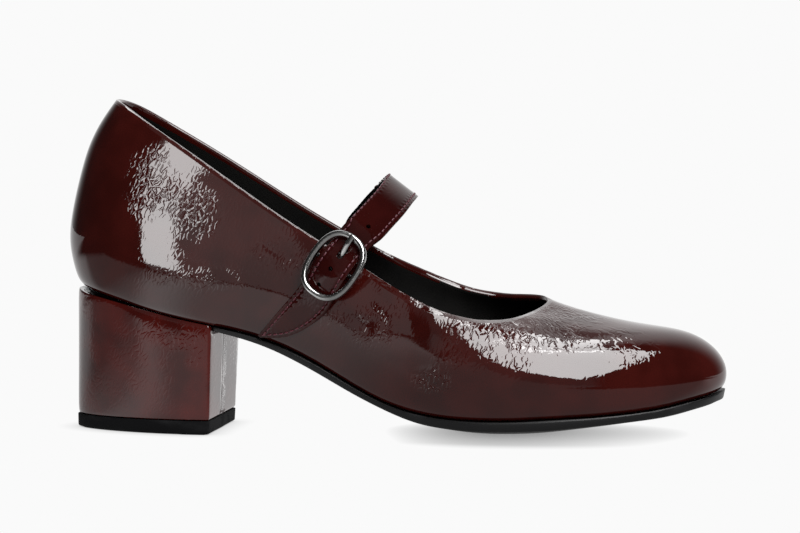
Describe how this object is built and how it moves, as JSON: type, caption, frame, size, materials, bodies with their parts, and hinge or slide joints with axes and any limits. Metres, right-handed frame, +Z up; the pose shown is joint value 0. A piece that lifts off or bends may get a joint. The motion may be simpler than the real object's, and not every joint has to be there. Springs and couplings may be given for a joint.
{
  "type": "mary jane pump",
  "caption": "Low-heeled closed-toe shoe with a curved instep strap, an oval buckle on the outer side and a flat-fronted block heel.",
  "frame": {"origin": "centre of the shoe's length and width, on the floor plane that the top lift and the ball of the sole stand on", "axes": "+X from heel to toe, -Y to the outer side that carries the buckle, +Y to the inner side, +Z up"},
  "size_m": [0.2448, 0.0817, 0.1226],
  "materials": {
    "patent_leather": "crinkled patent, wet gloss, burgundy; black lining inside",
    "strap_leather": "crinkled patent, wet gloss, burgundy; black lining underneath",
    "heel_cover": "patent leather over a block, gloss, burgundy",
    "lining": "matt black lining",
    "sole": "satin black",
    "top_lift": "matt black",
    "buckle_metal": "worn polished nickel"
  },
  "bodies": {
    "root": {"upper": "patent_leather", "strap": "strap_leather", "heel": "heel_cover", "insole": "lining", "outsole": "sole", "top_lift": "top_lift", "buckle_frame": "buckle_metal", "buckle_prong": "buckle_metal"}
  },
  "joints": []
}
